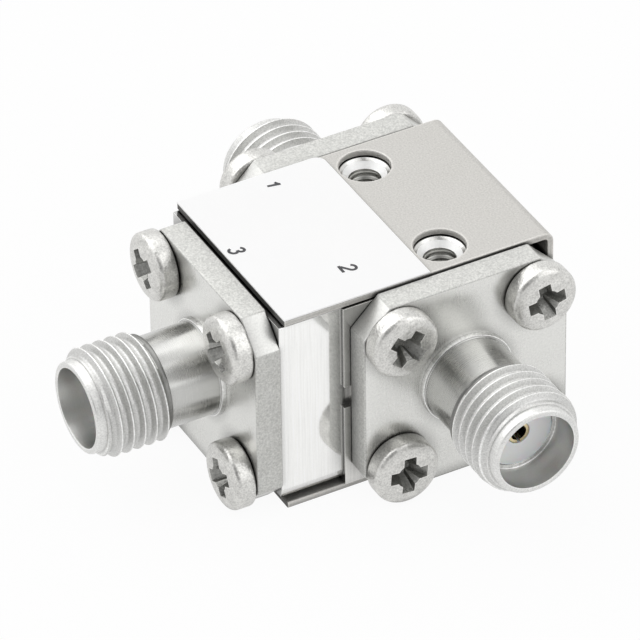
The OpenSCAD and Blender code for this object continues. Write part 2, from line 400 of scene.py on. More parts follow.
class Finish(Enum):
    """Every finish on the object, among them brighter and darker copies of one metal that are painted
    highlight and painted shade.
    """

    SHEET = Metal(
        "sheet_nickel", (0.58, 0.57, 0.547), 0.6, Marks(Grain.CROSSWISE, 0.07, 0.02, 0.0004),
        Patches(3.0, 0.03), Pits(0.1, 0.3, 0.003), NookShade(0.28, 1.5), Edges(0.16, 0.7), end_shade_from=10.275,
    )
    HOUSING = Metal(
        "housing_plate", (0.72, 0.715, 0.695), 0.24, Marks(Grain.UPRIGHT, 0.1, 0.14, 0.001),
        Patches(2.0, 0.06), Pits(0.1, 0.04, 0.0), NookShade(0.8, 0.5), Edges(0.08, 0.4),
    )
    # A brighter copy of the housing metal: painted highlight on the mounting holes' slanted mouths.
    MOUTH_HIGHLIGHT = Metal(
        "mouth_painted_highlight", (0.9, 0.9, 0.895), 0.6, Marks(Grain.TURNED, 0.06, 0.03, 0.001),
        Patches(0.6, 0.04), Pits(0.08, 0.06, 0.001), NookShade(0.1, 0.2),
    )
    TAPPED = Metal(
        "tapped_thread", (0.44, 0.44, 0.42), 0.35, Marks(Grain.TURNED, 0.06, 0.06, 0.001),
        Patches(0.6, 0.08), Pits(0.08, 0.1, 0.001), NookShade(0.7, 1.2), Edges(0.05, 0.8),
    )
    # Its strong nook shade is painted shade and painted reflection: the darker band beside the seam, where
    # port 2's flange side is mirrored.
    BLOCK = Metal(
        "block_brushed", (0.98, 0.98, 0.965), 0.07, Marks(Grain.UPRIGHT, 0.12, 0.1, 0.0005),
        Patches(4.0, 0.02), Pits(0.1, 0.02, 0.0), NookShade(1.5, 1.7), roll_off=0.065,
    )
    # Its nook shade paints contact shadows and the screws' dark mirror images round the screw heads.
    FACE = Metal(
        "jack_face", (0.77, 0.77, 0.745), 0.28, Marks(Grain.CROSSWISE, 0.06, 0.02, 0.0004),
        Patches(2.5, 0.05), Pits(0.12, 0.16, 0.001), NookShade(0.9, 0.8), Edges(0.08, 0.25),
    )
    SIDE = Metal(
        "jack_milled", (0.65, 0.65, 0.63), 0.7, Marks(Grain.NONE, 0.06, 0.03, 0.001),
        Patches(1.5, 0.06), Pits(0.1, 0.45, 0.005), NookShade(1.6, 0.9), Edges(0.1, 0.6),
    )
    CORNER = Metal(
        "jack_corner", (0.68, 0.68, 0.66), 0.4, Marks(Grain.NONE, 0.06, 0.03, 0.001),
        Patches(1.0, 0.08), Pits(0.1, 0.25, 0.003), NookShade(0.8, 0.6), Edges(0.1, 0.3),
    )
    BARREL = Metal(
        "jack_turned", (0.58, 0.58, 0.565), 0.27, Marks(Grain.TURNED, 0.06, 0.08, 0.0006),
        Patches(2.0, 0.05), Pits(0.1, 0.05, 0.0), NookShade(0.4, 0.5), Edges(0.06, 1.2), stretch=0.85,
    )
    THREAD = Metal(
        "jack_frosted", (0.65, 0.65, 0.637), 0.42, Marks(Grain.NONE, 0.1, 0.03, 0.003),
        Patches(0.8, 0.1), Pits(0.09, 0.45, 0.004), NookShade(0.3, 0.3),
    )
    # A brighter copy of the jack metal: painted highlight on the thread's crests, the collar and the
    # mouth's floor ring.
    CREST_HIGHLIGHT = Metal(
        "jack_crest_painted_highlight", (0.9, 0.9, 0.885), 0.42, Marks(Grain.NONE, 0.1, 0.03, 0.002), Patches(0.8, 0.2),
        Pits(0.12, 0.5, 0.004), NookShade(0.1, 0.1),
    )
    # A darker copy of the jack metal: painted shade on the thread's rear end beside the barrel.
    RUNOUT_SHADE = Metal(
        "jack_runout_painted_shade", (0.28, 0.28, 0.27), 0.4, Marks(Grain.TURNED, 0.08, 0.06, 0.001),
        Patches(0.8, 0.1), Pits(0.1, 0.3, 0.003), NookShade(0.3, 0.4),
    )
    NOSE = Metal(
        "jack_nose", (0.77, 0.77, 0.755), 0.45, Marks(Grain.TURNED, 0.1, 0.08, 0.003),
        Patches(0.8, 0.1), Pits(0.1, 0.35, 0.006), NookShade(0.2, 0.5), Edges(0.08, 1.2),
    )
    BORE = Metal(
        "jack_bore", (0.57, 0.57, 0.555), 0.36, Marks(Grain.TURNED, 0.06, 0.05, 0.001),
        Patches(1.5, 0.05), Pits(0.1, 0.08, 0.0), NookShade(0.6, 0.3), Edges(0.07, 0.8),
    )
    SCREW = Metal(
        "screw_tumbled", (0.68, 0.675, 0.652), 0.34, Marks(Grain.NONE, 0.4, 0.2, 0.035),
        Patches(0.9, 0.15), Pits(0.1, 0.5, 0.006), NookShade(0.7, 0.6), Edges(0.1, 0.6),
    )
    # A darker copy of the screw metal: painted shade inside the cross recess.
    RECESS_SHADE = Metal(
        "screw_recess_painted_shade", (0.33, 0.33, 0.315), 0.3, Marks(Grain.NONE, 0.2, 0.3, 0.02), Patches(0.5, 0.15),
        Pits(0.09, 0.6, 0.01), NookShade(0.6, 0.5), Edges(0.08, 1.0),
    )
    GOLD = Metal(
        "gold_plate", (0.88, 0.75, 0.47), 0.25, Marks(Grain.TURNED, 0.05, 0.03, 0.0005),
        Patches(0.8, 0.05), nook_shade=NookShade(1.0, 0.7),
    )
    SILVER = Metal(
        "silver_plate", (0.8, 0.79, 0.76), 0.3, Marks(Grain.LENGTHWISE, 0.06, 0.03, 0.0008),
        Patches(1.5, 0.05),
    )
    MAGNET = Metal(
        "magnet_ground", (0.33, 0.33, 0.35), 0.4, Marks(Grain.LENGTHWISE, 0.08, 0.05, 0.001),
        Patches(1.5, 0.08),
    )
    POLE = Metal(
        "pole_ground", (0.55, 0.56, 0.58), 0.35, Marks(Grain.LENGTHWISE, 0.08, 0.05, 0.001),
        Patches(1.5, 0.06),
    )
    INSULATOR = Solid("insulator_white", (0.985, 0.99, 1.0), 0.45, sheen_through=0.3)
    LABEL = Solid("label_film", (0.985, 0.985, 0.985), 0.5, 4.0, 0.01, 0.2, 0.001)
    INK = Solid("label_ink", (0.06, 0.06, 0.065), 0.6, 0.4, 0.25, 0.08, 0.001)
    FERRITE = Solid("ferrite_black", (0.03, 0.03, 0.033), 0.35, 1.0, 0.15)
    SPACER = Solid("spacer_ceramic", (0.8, 0.78, 0.72), 0.5, 1.0, 0.05)

    @cached_property
    def material(self) -> bpy.types.Material:
        """The finish's material, written the first time it is asked for."""
        return self.value.material()


# Mesh making


@dataclass
class Draft:
    """A mesh on the drawing board: points in millimetres and the faces between them."""

    finish: Finish
    points: list[Point] = field(default_factory=list)
    faces: list[tuple[int, ...]] = field(default_factory=list)
    finishes: list[Finish] = field(default_factory=list)

    def face(self, corners: Sequence[int]) -> None:
        """Add one face in the finish that is set now."""
        self.faces.append(tuple(corners))
        self.finishes.append(self.finish)

    def loop(self, points: Iterable[Point]) -> list[int]:
        """Add points.

        Args:
            points: where they are.

        Returns:
            Their numbers, in order.
        """
        start = len(self.points)
        self.points.extend(tuple(float(c) for c in p) for p in points)
        return list(range(start, len(self.points)))

    def band(self, low: Sequence[int], high: Sequence[int], closed: bool = True) -> None:
        """Join two loops of equal length by quads.

        Args:
            low: first loop. Seen from outside, both loops run left to right and this one lies below.
            high: second loop, above the first.
            closed: whether the last points join the first ones.
        """
        count = len(low)
        for i in range(count if closed else count - 1):
            j = (i + 1) % count
            self.face((low[i], low[j], high[j], high[i]))

    def tube(self, loops: Sequence[list[int]]) -> None:
        """Join loops into a tube that is closed at both ends.

        Args:
            loops: the loops from one end to the other.
        """
        for low, high in zip(loops, loops[1:]):
            self.band(low, high)
        self.face(loops[0][::-1])
        self.face(loops[-1])

    def cap(self, outer: Sequence[int], holes: Sequence[Sequence[int]], up: bool) -> None:
        """Fill a flat face that has holes with triangles.

        Args:
            outer: loop round the face.
            holes: loops round its holes.
            up: whether the face looks towards +Z.
        """
        numbers = [n for ring in (outer, *holes) for n in ring]
        flat = [Vector(self.points[n][:2]) for n in numbers]
        edges, start = [], 0
        for ring in (outer, *holes):
            size = len(ring)
            edges += [(start + i, start + (i + 1) % size) for i in range(size)]
            start += size
        result = delaunay_2d_cdt(flat, edges, [], INSIDE_WITH_HOLES, FLAT_WELD)
        origin = [numbers[sources[0]] for sources in result[3]]
        for triangle in result[2]:
            a, b, c = (origin[i] for i in triangle)
            self.face((a, b, c) if up else (c, b, a))

    def mesh(self, name: str, sharp: float = 35.0, weld: float = WELD) -> bpy.types.Mesh:
        """Make the mesh.

        Args:
            name: name of the mesh.
            sharp: edges over this many degrees stay crisp.
            weld: points closer than this many millimetres become one.

        Returns:
            The mesh in metres, with its materials.
        """
        mesh = bpy.data.meshes.new(name)
        palette = list(dict.fromkeys(self.finishes))
        shape = bmesh.new()
        corners = [shape.verts.new(Vector(p) * MM) for p in self.points]
        for numbers, finish in zip(self.faces, self.finishes):
            face = shape.faces.new([corners[i] for i in numbers])
            face.material_index = palette.index(finish)
            face.smooth = True
        bmesh.ops.remove_doubles(shape, verts=shape.verts, dist=weld * MM)
        bmesh.ops.recalc_face_normals(shape, faces=shape.faces)
        shape.to_mesh(mesh)
        shape.free()
        mesh.set_sharp_from_angle(angle=math.radians(sharp))
        for finish in palette:
            mesh.materials.append(finish.material)
        return mesh

    def piece(self, name: str, place: Matrix) -> bpy.types.Object:
        """Make the piece and put it in place on the body, in metres."""
        return add_piece(name, self.mesh(name), place)


def add_object(name: str, data: bpy.types.ID) -> bpy.types.Object:
    """Put a new object in the scene.

    Args:
        name: its name.
        data: its mesh, lamp or camera.

    Returns:
        The object.
    """
    new = bpy.data.objects.new(name, data)
    bpy.context.scene.collection.objects.link(new)
    return new


def add_piece(name: str, mesh: bpy.types.Mesh, place: Matrix) -> bpy.types.Object:
    """Put a mesh in place on the body.

    Args:
        name: name of the piece.
        mesh: its mesh.
        place: where its own frame stands, in metres.

    Returns:
        The new object.
    """
    piece = add_object(name, mesh)
    piece.matrix_world = place
    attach(piece, "root")
    LOG.info("%s: %d faces", name, len(mesh.polygons))
    return piece


def shift(x: float, y: float, z: float) -> Matrix:
    """Frame that stands at a place given in millimetres."""
    return Matrix.Translation(Vector((x, y, z)) * MM)


def circle(
    radius: float, height: float, count: int, centre: tuple[float, float] = (0.0, 0.0)
) -> list[Point]:
    """Points of a level circle, anticlockwise from +X."""
    turns = [2.0 * math.pi * i / count for i in range(count)]
    return [(centre[0] + radius * math.cos(t), centre[1] + radius * math.sin(t), height) for t in turns]


def dress_node(name: str, finish: Finish, edge: float = 0.0) -> None:
    """Give a CAD node its finish, and soften its edges.

    Args:
        name: the CAD node.
        finish: its finish.
        edge: width of the softened edges, or 0 to leave them crisp.
    """
    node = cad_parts[name]
    node.data.materials.clear()
    node.data.materials.append(finish.material)
    if edge:
        weld = node.modifiers.new("weld", "WELD")
        weld.merge_threshold = WELD * MM
        bevel = node.modifiers.new("edges", "BEVEL")
        bevel.width = edge * MM
        bevel.segments = 3
        bevel.limit_method = "ANGLE"
        bevel.angle_limit = CREASE
        bevel.harden_normals = True
    LOG.info("%s: dressed as %s", name, finish.name)


# The object


class Port(Enum):
    """The three ports: turn of each about +Z, in degrees, and distance of its seat."""

    ONE = (1, 180.0, 6.35)
    TWO = (2, 0.0, 6.35)
    THREE = (3, -90.0, 10.6)

    @property
    def number(self) -> int:
        """Number of the port."""
        return self.value[0]

    def place(self, axis_height: float) -> Matrix:
        """Frame on the port's seat, +Z out of the port and +Y up.

        Args:
            axis_height: height of the port's axis.

        Returns:
            The frame, in metres.
        """
        _, turn, seat = self.value
        out = Matrix.Rotation(math.radians(turn), 4, "Z")
        lie = Matrix(((0, 0, 1, 0), (1, 0, 0, 0), (0, 1, 0, 0), (0, 0, 0, 1)))
        return shift(0.0, 0.0, axis_height) @ out @ shift(seat, 0.0, 0.0) @ lie


# One turn of the thread: share of the pitch, and share of the depth from root to crest
THREAD_PROFILE = (
    (0.0, 0.0), (0.12, -0.02), (0.26, 0.0), (0.36, 0.06), (0.42, 0.22), (0.49, 0.5), (0.56, 0.8),
    (0.6, 0.96), (0.64, 1.0), (0.68, 1.0), (0.72, 0.96), (0.76, 0.8), (0.83, 0.5), (0.9, 0.22),
    (0.95, 0.06),
)


@dataclass
class Jack:
    """A flanged jack: square flange, plain barrel, threaded nose and bored mouth, in one piece."""

    port: Port
    axis_height: float = 6.37
    sides: int = 128
    bend_points: int = 4
    flange_size: float = 12.7
    flange_t: float = 1.55
    flange_corner: float = 1.7
    corner_round: float = 0.22
    flange_edge: float = 0.1
    screw_spacing: float = 8.64
    flange_hole_d: float = 2.45
    hole_sides: int = 32
    collar_r: float = 2.825
    collar_h: float = 0.25
    collar_edge: float = 0.06
    barrel_r: float = 2.675
    barrel_len: float = 3.25
    barrel_foot: float = 0.04
    barrel_end: tuple[tuple[float, float], ...] = ((0.0, 0.05), (0.03, 0.01))
    thread_r: float = 3.175
    thread_len: float = 3.95
    thread_slant: float = 0.42
    thread_pitch: float = 0.7056
    thread_depth: float = 0.36
    blank_spare: float = 0.03
    crest_highlight_from: float = 0.95
    runout: float = 0.36
    nose_r: float = 2.65
    nose_len: float = 0.55
    nose_foot: tuple[tuple[float, float], ...] = ((0.02, 0.02), (0.0, 0.06))
    nose_edge: float = 0.12
    mouth_edge: float = 0.05
    mouth_r: float = 2.3
    mouth_depth: float = 1.95
    floor_edge: float = 0.04
    insulator_r: float = 2.05
    insulator_edge: float = 0.03
    screw_grip: float = 2.45
    screw_turns: tuple[float, float, float, float] = (0.0, 0.0, 0.0, 0.0)

    @property
    def thread_start(self) -> float:
        """Where the thread starts, from the seat."""
        return self.flange_t + self.barrel_len

    @property
    def tip(self) -> float:
        """Where the nose ends, from the seat."""
        return self.thread_start + self.thread_len + self.nose_len

    @property
    def mouth_floor(self) -> float:
        """Where the mouth's floor lies, from the seat."""
        return self.tip - self.mouth_depth

    def outline(self, height: float, inset: float) -> list[Point]:
        """Loop round the flange.

        Args:
            height: level of the loop.
            inset: how far it is drawn in.

        Returns:
            Its points, anticlockwise.
        """
        half, cut, bend_r = self.flange_size / 2, self.flange_corner, self.corner_round
        loop: list[Point] = []
        for k in range(8):
            quarter = math.radians(90 * (k // 2))
            first = k % 2 == 0
            corner = (half, half - cut) if first else (half - cut, half)
            facing = (0.0, 45.0) if first else (45.0, 90.0)
            bend = math.radians((facing[0] + facing[1]) / 2)
            back = bend_r / math.cos(math.radians(22.5))
            centre = (corner[0] - back * math.cos(bend), corner[1] - back * math.sin(bend))
            for t in np.radians(np.linspace(*facing, self.bend_points)):
                x = centre[0] + (bend_r - inset) * math.cos(t)
                y = centre[1] + (bend_r - inset) * math.sin(t)
                turned_x = x * math.cos(quarter) - y * math.sin(quarter)
                turned_y = x * math.sin(quarter) + y * math.cos(quarter)
                loop.append((turned_x, turned_y, height))
        return loop

    def screw_places(self) -> list[tuple[float, float]]:
        """Centres of the four screws on the flange."""
        half = self.screw_spacing / 2
        return [(-half, half), (half, half), (-half, -half), (half, -half)]

    def draw_flange(self, draft: Draft, collar: Sequence[int], bore: Sequence[int]) -> None:
        """Add the flange round the barrel.

        Args:
            draft: mesh that takes the flange.
            collar: loop where the barrel leaves the front face.
            bore: loop where the bore opens in the rear face.
        """
        top = self.flange_t
        levels = self.rounding(self.flange_edge)
        levels += [(top - z, inset) for z, inset in reversed(levels)]
        loops = [draft.loop(self.outline(z, inset)) for z, inset in levels]
        draft.finish = Finish.SIDE
        for low, high in zip(loops, loops[1:]):
            start = len(draft.finishes)
            draft.band(low, high)
            for cut in range(start + self.bend_points - 1, len(draft.finishes), 2 * self.bend_points):
                draft.finishes[cut] = Finish.CORNER
        draft.finish = Finish.FACE
        radius, sides = self.flange_hole_d / 2, self.hole_sides
        rear = [draft.loop(circle(radius, 0.0, sides, c)) for c in self.screw_places()]
        front = [draft.loop(circle(radius, top, sides, c)) for c in self.screw_places()]
        for low, high in zip(rear, front):
            draft.band(high, low)
        draft.cap(loops[0], [bore, *rear], up=False)
        draft.cap(loops[-1], [collar, *front], up=True)

    @staticmethod
    def rounding(radius: float, steps: int = 4) -> list[tuple[float, float]]:
        """Steps round a rounded edge: distances from the two faces that meet there."""
        turns = np.linspace(0.0, math.pi / 2, steps)
        return [(radius * (1 - math.cos(t)), radius * (1 - math.sin(t))) for t in turns]

    def blank_radius(self, along: float) -> float:
        """Radius of the thread's blank, which is slanted at both ends.

        Args:
            along: distance from the start of the thread.

        Returns:
            The radius there.
        """
        end = min(along, self.thread_len - along)
        root = self.thread_r - self.thread_depth - self.blank_spare
        return min(self.thread_r, root + (self.thread_r - root) * max(end, 0.0) / self.thread_slant)

    def thread_rows(self) -> tuple[np.ndarray, np.ndarray]:
        """Helical thread surface.

        Returns:
            Distances along the axis and radii, one row for each point of the profile and one
            column for each side plus one that closes the turn.
        """
        turns = math.ceil(self.thread_len / self.thread_pitch) + 2
        lift = np.linspace(0.0, 1.0, self.sides + 1)
        rows_s, rows_r = [], []
        for k in range(turns):
            for phase, rise in THREAD_PROFILE:
                s = np.clip((k - 1 + phase + lift) * self.thread_pitch, 0.0, self.thread_len)
                crest = self.thread_r - self.thread_depth * (1.0 - rise)
                rows_s.append(s)
                rows_r.append([min(crest, self.blank_radius(x)) for x in s])
        return np.array(rows_s), np.array(rows_r)

    def rear_profile(self) -> list[tuple[float, float]]:
        """Half outline of the collar and barrel.

        Returns:
            Radius and distance from the seat of each point, from the flange to the thread.
        """
        edge, collar_top = self.collar_edge, self.flange_t + self.collar_h
        return [
            (self.collar_r, self.flange_t),
            (self.collar_r, collar_top - edge),
            (self.collar_r - EDGE_MIDDLE * edge, collar_top - EDGE_MIDDLE * edge),
            (self.collar_r - edge, collar_top),
            (self.barrel_r + self.barrel_foot, collar_top),
            (self.barrel_r, collar_top + self.barrel_foot),
            *((self.barrel_r + out, self.thread_start - back) for out, back in self.barrel_end),
            (self.blank_radius(0.0), self.thread_start),
        ]

    def front_profile(self) -> list[tuple[float, float]]:
        """Half outline of the nose and bore.

        Returns:
            Radius and distance from the seat of each point, from the thread to the rear face.
        """
        end, tip = self.thread_start + self.thread_len, self.tip
        floor, lip = self.mouth_floor, self.mouth_edge
        return [
            (self.blank_radius(self.thread_len), end),
            *((self.nose_r + out, end + on) for out, on in self.nose_foot),
            *((self.nose_r - drop, tip - back) for drop, back in self.rounding(self.nose_edge)),
            (self.mouth_r + lip, tip),
            (self.mouth_r + EDGE_MIDDLE * lip, tip - EDGE_MIDDLE * lip),
            (self.mouth_r, tip - lip),
            (self.mouth_r, floor + self.floor_edge),
            (self.mouth_r - self.floor_edge, floor),
            (self.insulator_r + self.insulator_edge, floor),
            (self.insulator_r, floor - self.insulator_edge),
            (self.insulator_r, 0.0),
        ]

    def draw_turned(self, draft: Draft) -> tuple[list[int], list[int]]:
        """Add all that is turned: barrel, thread, nose and bore.

        Args:
            draft: mesh that takes them.

        Returns:
            The loops where the barrel leaves the flange's front and the bore opens in its rear.
        """
        rear, front = self.rear_profile(), self.front_profile()
        rear_loops = [draft.loop(circle(r, z, self.sides)) for r, z in rear]
        for low, high, (radius, _) in zip(rear_loops, rear_loops[1:], rear[1:]):
            # the collar takes the brighter copy: painted highlight
            on_collar = radius > self.barrel_r + self.barrel_foot
            draft.finish = Finish.CREST_HIGHLIGHT if on_collar else Finish.BARREL
            draft.band(low, high)
        along, radii = self.thread_rows()
        angles = np.linspace(0.0, 2.0 * math.pi, self.sides + 1)
        rows = [
            draft.loop(zip(r * np.cos(angles), r * np.sin(angles), self.thread_start + s))
            for s, r in zip(along, radii)
        ]
        # bands at the top of the thread take the brighter copy: painted highlight
        crest = [rise > self.crest_highlight_from for _, rise in THREAD_PROFILE]
        for i, (low, high) in enumerate(zip(rows, rows[1:])):
            on_highlit_crest = crest[i % len(crest)] and crest[(i + 1) % len(crest)]
            draft.finish = Finish.CREST_HIGHLIGHT if on_highlit_crest else Finish.THREAD
            first = len(draft.finishes)
            draft.band(low, high, closed=False)
            # the thread's rear end takes the darker copy: painted shade
            for side in np.flatnonzero(along[i + 1][1:] < self.runout):
                draft.finishes[first + side] = Finish.RUNOUT_SHADE
        front_loops = [draft.loop(circle(r, z, self.sides)) for r, z in front]
        for low, high, (radius, z) in zip(front_loops, front_loops[1:], front[1:]):
            # the mouth's floor ring takes the brighter copy: painted highlight
            inside = Finish.CREST_HIGHLIGHT if z == self.mouth_floor else Finish.BORE
            draft.finish = Finish.NOSE if radius > self.mouth_r else inside
            draft.band(low, high)
        return rear_loops[0], front_loops[-1]

    def build(self) -> None:
        """Build the shell and the four screws of this port, and dress its inner parts."""
        number = self.port.number
        place = self.port.place(self.axis_height)
        draft = Draft(Finish.BARREL)
        collar, bore = self.draw_turned(draft)
        self.draw_flange(draft, collar, bore)
        shell = draft.piece(f"port_{number}_jack", place)
        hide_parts(f"port_{number}_shell")
        for k, ((x, y), turn) in enumerate(zip(self.screw_places(), self.screw_turns), start=1):
            spot = shift(x, y, self.flange_t)
            twist = Matrix.Rotation(math.radians(turn), 4, "Z")
            mesh = PAN_SCREW.mesh(self.flange_t + self.screw_grip)
            screw = add_piece(f"port_{number}_screw_{k}", mesh, place @ spot @ twist)
            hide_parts(f"port_{number}_screws")
        dress_node(f"port_{number}_insulator", Finish.INSULATOR)
        dress_node(f"port_{number}_contact", Finish.GOLD)


@dataclass
class PanScrew:
    """A pan-head screw with a tapered cross recess."""

    head_r: float = 1.99
    head_h: float = 1.38
    side_h: float = 0.8
    foot: float = 0.2
    foot_h: float = 0.22
    crown: float = 3.2
    shank_r: float = 1.0
    shank_tip: float = 0.25
    middle: float = 0.02
    recess_reach: float = 1.16
    recess_foot: float = 0.55
    recess_w: float = 0.76
    recess_foot_w: float = 0.5
    recess_core: float = 0.76
    recess_core_foot: float = 0.38
    recess_depth: float = 1.1
    cutter_reach: float = 1.4
    edge: float = 0.05
    crease: float = 38.0
    sides: int = 72
    core_sides: int = 24
    foot_steps: int = 6
    crown_steps: int = 22
    made: dict[float, bpy.types.Mesh] = field(default_factory=dict)

    def profile(self, length: float) -> list[tuple[float, float]]:
        """Half outline of the screw.

        Args:
            length: length under the head.

        Returns:
            Radius and height of each point, from the tip up to the middle of the crown.
        """
        shank, tip = self.shank_r, self.shank_tip
        points = [(self.middle, -length), (shank - tip, -length), (shank, tip - length), (shank, 0.0)]
        for t in np.linspace(0.0, math.pi / 2, self.foot_steps):
            r = self.head_r - self.foot * (1 - math.sin(t))
            points.append((r, self.foot_h * (1 - math.cos(t))))
        rise = self.head_h - self.side_h
        for t in np.linspace(0.0, math.pi / 2 - self.middle, self.crown_steps):
            r = self.head_r * math.cos(t) ** (2.0 / self.crown)
            z = self.side_h + rise * math.sin(t) ** (2.0 / self.crown)
            points.append((r, z))
        return points

    def blank(self, length: float) -> Draft:
        """The screw before its recess is cut.

        Args:
            length: length under the head.

        Returns:
            Its draft.
        """
        draft = Draft(Finish.SCREW)
        draft.tube([draft.loop(circle(r, z, self.sides)) for r, z in self.profile(length)])
        return draft

    def cutter(self, foot: Sequence[tuple[float, float]], mouth: Sequence[tuple[float, float]]) -> Draft:
        """Tapered tool that widens from the foot of the recess to its mouth, and on above the head.

        Args:
            foot: outline at the bottom of the recess.
            mouth: outline at the level of the crown.

        Returns:
            The tool.
        """
        # the tools hand their darker finish, painted shade, to the recess walls they cut
        draft = Draft(Finish.RECESS_SHADE)
        reach = self.cutter_reach
        top = [tuple(f + reach * (m - f) for f, m in zip(a, b)) for a, b in zip(foot, mouth)]
        floor = self.head_h - self.recess_depth
        low = draft.loop((x, y, floor) for x, y in foot)
        high = draft.loop((x, y, floor + reach * self.recess_depth) for x, y in top)
        draft.tube([low, high])
        return draft

    def cutters(self) -> list[Draft]:
        """The tools of the recess.

        Returns:
            Two crossing wedges and a round core.
        """
        foot, mouth = (
            [(-a, -b), (a, -b), (a, b), (-a, b)]
            for a, b in (
                (self.recess_foot, self.recess_foot_w / 2),
                (self.recess_reach, self.recess_w / 2),
            )
        )
        turned = [[(-y, x) for x, y in outline] for outline in (foot, mouth)]
        core = [
            [point[:2] for point in circle(r, 0.0, self.core_sides)]
            for r in (self.recess_core_foot, self.recess_core)
        ]
        return [self.cutter(foot, mouth), self.cutter(*turned), self.cutter(*core)]

    @staticmethod
    def tool(draft: Draft) -> bpy.types.Object:
        """Make an object that only serves to cut or to be cut."""
        return add_object("tool", draft.mesh("tool"))

    def mesh(self, length: float) -> bpy.types.Mesh:
        """Mesh of a screw, made once for each length.

        Args:
            length: length under the head.

        Returns:
            The mesh with its recess.
        """
        if length in self.made:
            return self.made[length]
        blank = self.tool(self.blank(length))
        tools = [self.tool(draft) for draft in self.cutters()]
        for tool in tools:
            cut = blank.modifiers.new("cut", "BOOLEAN")
            cut.operation = "DIFFERENCE"
            cut.solver = "EXACT"
            cut.material_mode = "TRANSFER"
            cut.object = tool
        soften = blank.modifiers.new("soften", "BEVEL")
        soften.width = self.edge * MM
        soften.segments = 2
        soften.limit_method = "ANGLE"
        soften.angle_limit = math.radians(self.crease)
        bpy.context.view_layer.update()
        graph = bpy.context.evaluated_depsgraph_get()
        mesh = bpy.data.meshes.new_from_object(blank.evaluated_get(graph))
        mesh.name = f"pan_screw_{round(length * 100)}"
        for spare in (blank, *tools):
            bpy.data.objects.remove(spare)
        for polygon in mesh.polygons:
            polygon.use_smooth = True
        mesh.set_sharp_from_angle(angle=CREASE)
        self.made[length] = mesh
        return mesh


PAN_SCREW = PanScrew()


@dataclass
class TappedHole:
    """Thread ridge of a mounting hole in the housing, and a bright ring of painted highlight on its
    slanted mouth.
    """

    number: int
    x: float
    y: float = 0.4
    top: float = 11.84
    depth: float = 2.3
    wall_r: float = 0.95
    pitch: float = 0.4
    ridge: float = 0.12
    ridge_foot: float = 0.17
    ridge_top: float = 0.03
    ridge_least: float = 0.3
    clear: float = 0.004
    mouth: float = 0.45
    rim: float = 12.37
    lining: float = 0.31
    lining_t: float = 0.012
    lining_sides: int = 64
    sides: int = 48

    def build(self) -> None:
        """Wind the ridge down the wall of the hole and line its mouth with a ring of painted highlight."""
        turns = int(self.depth / self.pitch)
        steps = turns * self.sides
        wall, foot, top = self.wall_r - self.clear, self.ridge_foot, self.ridge_top
        draft = Draft(Finish.TAPPED)
        loops = []
        for i in range(steps + 1):
            angle = 2.0 * math.pi * i / self.sides
            fade = min(1.0, i / self.sides, (steps - i) / self.sides)
            z = self.top - i * self.pitch / self.sides
            crest = wall - self.ridge * fade
            share = self.ridge_least + (1.0 - self.ridge_least) * fade
            section = ((wall, foot), (crest, top), (crest, -top), (wall, -foot))
            ring = ((r * math.cos(angle), r * math.sin(angle), z + dz * share) for r, dz in section)
            loops.append(draft.loop(ring))
        draft.tube(loops)
        self.line_mouth_highlight(draft)
        ridge = draft.piece(f"mount_thread_{self.number}", shift(self.x, self.y, 0.0))

    def line_mouth_highlight(self, draft: Draft) -> None:
        """Lay a thin bright ring, a painted highlight, on the slant above the thread.

        Args:
            draft: mesh that takes the ring.
        """
        draft.finish = Finish.MOUTH_HIGHLIGHT
        back, front = self.clear, self.clear + self.lining_t
        narrow, low = self.wall_r, self.rim - self.mouth
        wide, high = narrow + self.lining, low + self.lining
        corners = ((wide - front, high), (narrow - front, low), (narrow - back, low), (wide - back, high))
        rings = [draft.loop(circle(r, z, self.lining_sides)) for r, z in corners]
        for first, second in zip(rings, rings[1:] + rings[:1]):
            draft.band(first, second)


def arc(
    centre: tuple[float, float], radius: float, start: float, stop: float, count: int = 20
) -> list[tuple[float, float]]:
    """Points along an arc between two angles in degrees."""
    angles = np.radians(np.linspace(start, stop, count))
    return [(centre[0] + radius * math.cos(a), centre[1] + radius * math.sin(a)) for a in angles]


class Digit(Enum):
    """The port digits, drawn as strokes in a box one unit high."""

    ONE = ("1", [[(0.22, 0.64), (0.42, 0.78)], [(0.46, 0.88), (0.46, 0.12)]])
    TWO = ("2", [[*arc((0.36, 0.68), 0.24, 170.0, -40.0), (0.12, 0.14)], [(0.03, 0.08), (0.68, 0.08)]])
    THREE = ("3", [arc((0.34, 0.73), 0.19, 165.0, -90.0), arc((0.34, 0.3), 0.23, 90.0, -165.0)])


